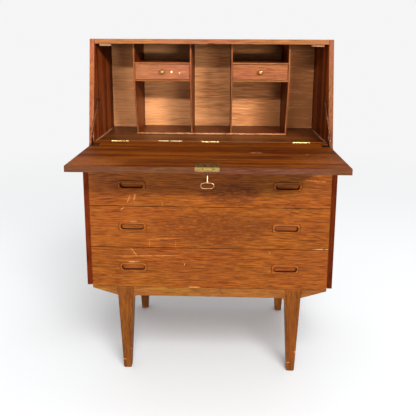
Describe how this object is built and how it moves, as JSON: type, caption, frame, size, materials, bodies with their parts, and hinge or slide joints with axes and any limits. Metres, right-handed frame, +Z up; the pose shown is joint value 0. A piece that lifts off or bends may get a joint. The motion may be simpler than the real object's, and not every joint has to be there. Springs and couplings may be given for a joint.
{
  "type": "secretary desk",
  "caption": "Drop-front secretary desk with a locking flap on lid stays, pigeonholes with small drawers inside, wide drawers below and tapered legs.",
  "frame": {"origin": "on the floor, under the centre of the desk's footprint with the flap open and the drawers shut", "axes": "+Z up, -Y towards the person who sits at the desk, +X to that person's right"},
  "size_m": [0.8, 0.6064, 1.102],
  "materials": {
    "case_veneer": "satin oiled teak veneer, grain along the panel",
    "drawer_veneer": "satin oiled teak veneer, grain from side to side",
    "lipping": "solid teak edges, satin",
    "base_wood": "solid teak, satin",
    "plywood": "thin golden-tan veneer, satin",
    "drawer_lining": "unfinished beech",
    "light_blocks": "unfinished beech",
    "brass": "aged, satin",
    "polished_brass": "polished",
    "dark_brass": "dark patina",
    "black_iron": "black, worn satin"
  },
  "bodies": {
    "case": {"side_left": "case_veneer", "side_right": "case_veneer", "top_panel": "case_veneer", "desk_floor": "case_veneer", "drawer_deck": "case_veneer", "top_rail": "case_veneer", "bottom_board": "case_veneer", "back_panel": "plywood", "drawer_runners": "drawer_lining", "unit_bottom": "lipping", "divider_1": "lipping", "divider_2": "lipping", "divider_3": "lipping", "divider_4": "lipping", "shelves": "lipping", "stop_blocks": "light_blocks", "strike_plate": "dark_brass", "hinge_leaves_fixed": "brass", "hinge_pins": "brass", "hinge_screws_fixed": "brass", "stay_studs": "black_iron", "leg_front_left": "base_wood", "leg_front_right": "base_wood", "leg_rear_left": "base_wood", "leg_rear_right": "base_wood", "rail_front": "base_wood", "rail_rear": "base_wood", "rail_left": "base_wood", "rail_right": "base_wood", "base_wings": "base_wood"},
    "flap": {"flap_panel": "case_veneer", "lock_case": "brass", "keyhole_plate": "brass", "hinge_leaves_moving": "brass", "hinge_screws_moving": "brass", "stay_brackets": "black_iron"},
    "bolt": {"lock_bolt": "brass"},
    "key": {"key": "dark_brass"},
    "slider_left": {"slider_left": "black_iron"},
    "slider_right": {"slider_right": "black_iron"},
    "stay_left": {"stay_bar_left": "black_iron"},
    "stay_right": {"stay_bar_right": "black_iron"},
    "drawer_1": {"drawer_1_front": "drawer_veneer", "drawer_1_box": "drawer_lining", "drawer_1_bottom": "drawer_lining", "drawer_1_pulls": "lipping"},
    "drawer_2": {"drawer_2_front": "drawer_veneer", "drawer_2_box": "drawer_lining", "drawer_2_bottom": "drawer_lining", "drawer_2_pulls": "lipping"},
    "drawer_3": {"drawer_3_front": "drawer_veneer", "drawer_3_box": "drawer_lining", "drawer_3_bottom": "drawer_lining", "drawer_3_pulls": "lipping"},
    "small_drawer_left": {"small_left_front": "lipping", "small_left_box": "drawer_lining", "small_left_knob": "polished_brass"},
    "small_drawer_right": {"small_right_front": "lipping", "small_right_box": "drawer_lining", "small_right_knob": "polished_brass"}
  },
  "joints": [
    {"name": "flap_hinge", "type": "hinge", "parent": "case", "child": "flap", "pos_m": [0, 0.01574, 0.767], "axis": [1, 0, 0], "range_deg": [-99.2, 0]},
    {"name": "key_turn", "type": "hinge", "parent": "flap", "child": "key", "pos_m": [0, -0.27824, 0.747], "axis": [0, 0, 1], "range_deg": [0, 180]},
    {"name": "bolt_slide", "type": "slide", "parent": "flap", "child": "bolt", "axis": [0, -1, 0], "range_m": [0, 0.008]},
    {"name": "stay_swivel_left", "type": "hinge", "parent": "case", "child": "slider_left", "pos_m": [-0.3805, 0.05924, 0.9], "axis": [1, 0, 0], "range_deg": [0, 30.23]},
    {"name": "stay_slide_left", "type": "slide", "parent": "slider_left", "child": "stay_left", "axis": [0, 0.6594, 0.7518], "range_m": [0, 0.06996]},
    {"name": "stay_swivel_right", "type": "hinge", "parent": "case", "child": "slider_right", "pos_m": [0.3805, 0.05924, 0.9], "axis": [1, 0, 0], "range_deg": [0, 30.23]},
    {"name": "stay_slide_right", "type": "slide", "parent": "slider_right", "child": "stay_right", "axis": [0, 0.6594, 0.7518], "range_m": [0, 0.06996]},
    {"name": "drawer_1_slide", "type": "slide", "parent": "case", "child": "drawer_1", "axis": [0, -1, 0], "range_m": [0, 0.165]},
    {"name": "drawer_2_slide", "type": "slide", "parent": "case", "child": "drawer_2", "axis": [0, -1, 0], "range_m": [0, 0.27]},
    {"name": "drawer_3_slide", "type": "slide", "parent": "case", "child": "drawer_3", "axis": [0, -1, 0], "range_m": [0, 0.27]},
    {"name": "small_drawer_left_slide", "type": "slide", "parent": "case", "child": "small_drawer_left", "axis": [0, -1, 0], "range_m": [0, 0.12]},
    {"name": "small_drawer_right_slide", "type": "slide", "parent": "case", "child": "small_drawer_right", "axis": [0, -1, 0], "range_m": [0, 0.12]}
  ],
  "couplings": [
    {"joint": "bolt_slide", "follows": "key_turn", "m_per_rad": 0.0025433},
    {"joint": "stay_swivel_left", "follows": "flap_hinge", "ratio": -0.30425},
    {"joint": "stay_slide_left", "follows": "flap_hinge", "m_per_rad": -0.040348},
    {"joint": "stay_swivel_right", "follows": "flap_hinge", "ratio": -0.30425},
    {"joint": "stay_slide_right", "follows": "flap_hinge", "m_per_rad": -0.040348}
  ]
}
